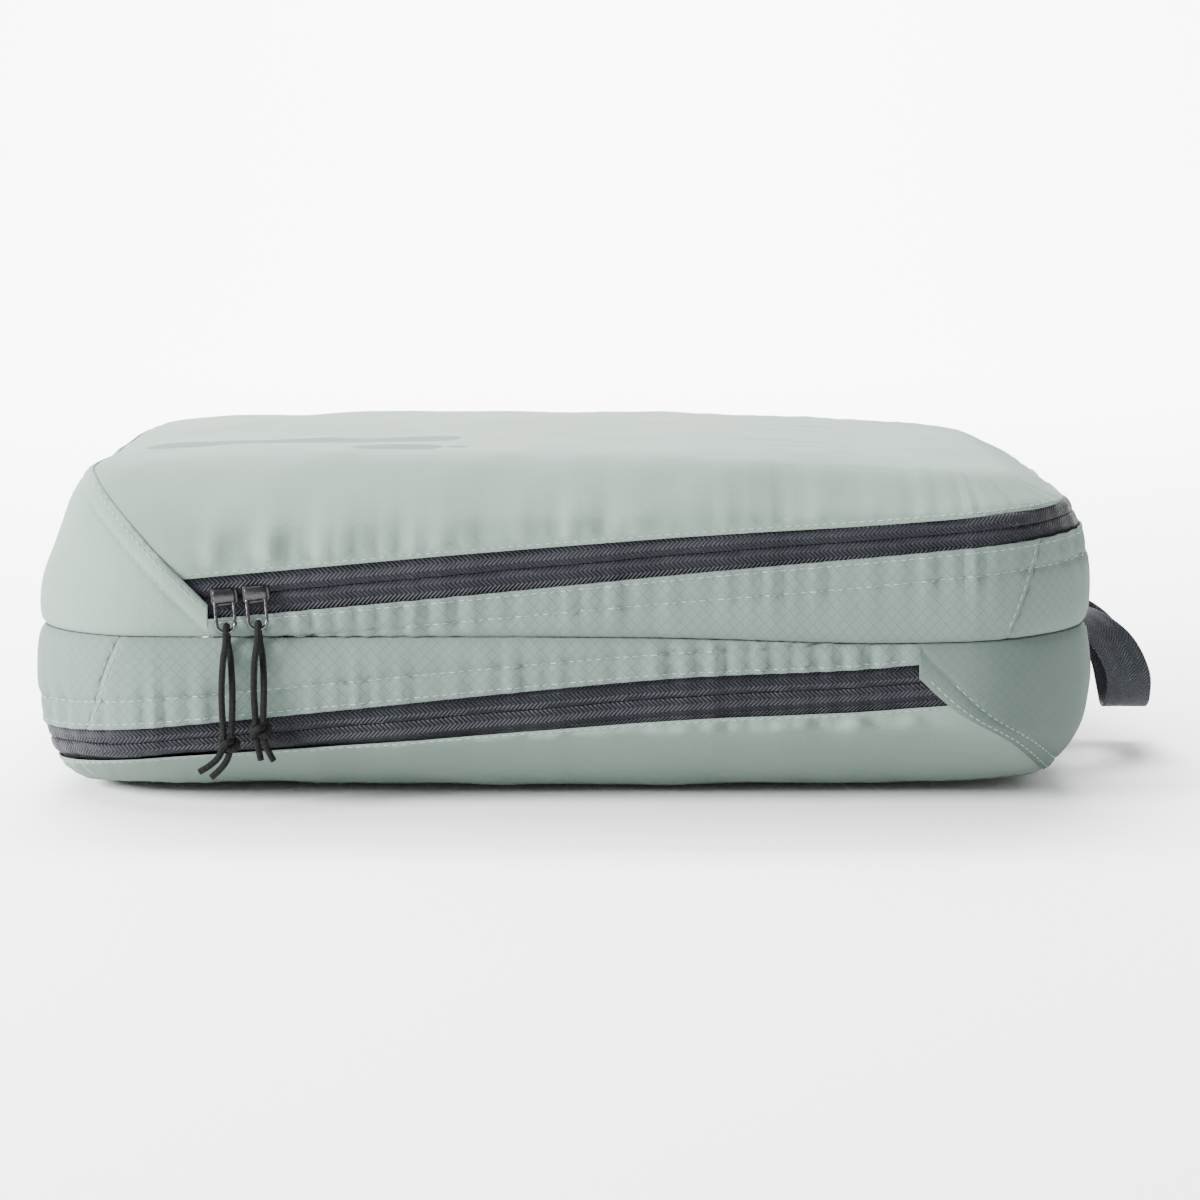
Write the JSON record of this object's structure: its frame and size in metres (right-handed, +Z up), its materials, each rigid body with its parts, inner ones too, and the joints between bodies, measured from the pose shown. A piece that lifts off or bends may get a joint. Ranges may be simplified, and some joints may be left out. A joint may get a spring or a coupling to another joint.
{
  "type": "packing cube",
  "caption": "Soft two-sided packing cube with a sloping zipped lid above and below a middle divider, cord zip pulls and a webbing end handle.",
  "frame": {"origin": "middle of the flat underside, which the cube stands on", "axes": "+X along the length towards the end with the handle, +Y from the front to the back, +Z up through the height"},
  "size_m": [0.381, 0.2939, 0.116],
  "materials": {
    "ripstop_cloth": "coated ripstop weave, satin",
    "end_cloth": "coated plain weave, satin",
    "divider_cloth": "light lining weave",
    "binding_tape": "ribbed grosgrain",
    "zip_tape": "herringbone zip tape",
    "zip_coil": "moulded nylon coil",
    "slider_metal": "gunmetal plate on die-cast zinc",
    "ring_wire": "gunmetal plated wire",
    "pull_cord": "braided cord",
    "handle_webbing": "herringbone webbing",
    "label_ribbon": "blank woven ribbon"
  },
  "bodies": {
    "body": {"divider_panel": "divider_cloth", "care_label": "label_ribbon", "upper_end_panel": "end_cloth", "upper_gusset_front": "ripstop_cloth", "upper_gusset_end": "ripstop_cloth", "upper_gusset_back": "ripstop_cloth", "upper_body_zip_tape": "zip_tape", "upper_body_zip_coil": "zip_coil", "upper_mid_binding": "binding_tape", "upper_corner_binding": "binding_tape", "lower_end_panel": "end_cloth", "lower_gusset_front": "ripstop_cloth", "lower_gusset_end": "ripstop_cloth", "lower_gusset_back": "ripstop_cloth", "lower_body_zip_tape": "zip_tape", "lower_body_zip_coil": "zip_coil", "lower_mid_binding": "binding_tape", "lower_corner_binding": "binding_tape"},
    "upper_lid": {"top_panel": "ripstop_cloth", "upper_lid_zip_tape": "zip_tape", "upper_lid_zip_coil": "zip_coil"},
    "lower_lid": {"bottom_panel": "ripstop_cloth", "lower_lid_zip_tape": "zip_tape", "lower_lid_zip_coil": "zip_coil"},
    "handle": {"handle_webbing": "handle_webbing"},
    "upper_left_slider": {"upper_left_slider": "slider_metal"},
    "upper_left_pull": {"upper_left_pull_ring": "ring_wire", "upper_left_pull_cord_a": "pull_cord", "upper_left_pull_cord_b": "pull_cord", "upper_left_pull_knot": "pull_cord"},
    "upper_right_slider": {"upper_right_slider": "slider_metal"},
    "upper_right_pull": {"upper_right_pull_ring": "ring_wire", "upper_right_pull_cord_a": "pull_cord", "upper_right_pull_cord_b": "pull_cord", "upper_right_pull_knot": "pull_cord"},
    "lower_right_slider": {"lower_right_slider": "slider_metal"},
    "lower_right_pull": {"lower_right_pull_ring": "ring_wire", "lower_right_pull_cord_a": "pull_cord", "lower_right_pull_cord_b": "pull_cord", "lower_right_pull_knot": "pull_cord"},
    "lower_left_slider": {"lower_left_slider": "slider_metal"},
    "lower_left_pull": {"lower_left_pull_ring": "ring_wire", "lower_left_pull_cord_a": "pull_cord", "lower_left_pull_cord_b": "pull_cord", "lower_left_pull_knot": "pull_cord"}
  },
  "joints": [
    {"name": "upper_lid_hinge", "type": "hinge", "parent": "body", "child": "upper_lid", "pos_m": [-0.16465, 0, 0.117], "axis": [0, -1, 0], "range_deg": [0, 180]},
    {"name": "lower_lid_hinge", "type": "hinge", "parent": "body", "child": "lower_lid", "pos_m": [0.16465, 0, -0.001], "axis": [0, -1, 0], "range_deg": [0, 180]},
    {"name": "handle_lift", "type": "hinge", "parent": "body", "child": "handle", "pos_m": [0.1794, 0, 0.058], "axis": [0, -1, 0], "range_deg": [0, 70]},
    {"name": "upper_left_slide", "type": "slide", "parent": "body", "child": "upper_left_slider", "axis": [0.9959, 0, 0.0905], "range_m": [0, 0.11]},
    {"name": "upper_left_pull_swing", "type": "hinge", "parent": "upper_left_slider", "child": "upper_left_pull", "pos_m": [-0.112, -0.12805, 0.07155], "axis": [-0.9959, 0, -0.0905], "range_deg": [0, 150]},
    {"name": "upper_right_slide", "type": "slide", "parent": "body", "child": "upper_right_slider", "axis": [0.9959, 0, 0.0905], "range_m": [0, 0.22]},
    {"name": "upper_right_pull_swing", "type": "hinge", "parent": "upper_right_slider", "child": "upper_right_pull", "pos_m": [-0.1015, -0.12805, 0.0725], "axis": [-0.9959, 0, -0.0905], "range_deg": [0, 150]},
    {"name": "lower_right_slide", "type": "slide", "parent": "body", "child": "lower_right_slider", "axis": [-0.9959, 0, -0.0905], "range_m": [0, 0.11]},
    {"name": "lower_right_pull_swing", "type": "hinge", "parent": "lower_right_slider", "child": "lower_right_pull", "pos_m": [0.112, 0.12805, 0.04445], "axis": [0.9959, 0, 0.0905], "range_deg": [0, 120]},
    {"name": "lower_left_slide", "type": "slide", "parent": "body", "child": "lower_left_slider", "axis": [-0.9959, 0, -0.0905], "range_m": [0, 0.22]},
    {"name": "lower_left_pull_swing", "type": "hinge", "parent": "lower_left_slider", "child": "lower_left_pull", "pos_m": [0.1015, 0.12805, 0.0435], "axis": [0.9959, 0, 0.0905], "range_deg": [0, 120]}
  ],
  "couplings": [
    {"joint": "upper_left_slide", "follows": "upper_right_slide", "ratio": 0.5},
    {"joint": "lower_right_slide", "follows": "lower_left_slide", "ratio": 0.5}
  ]
}
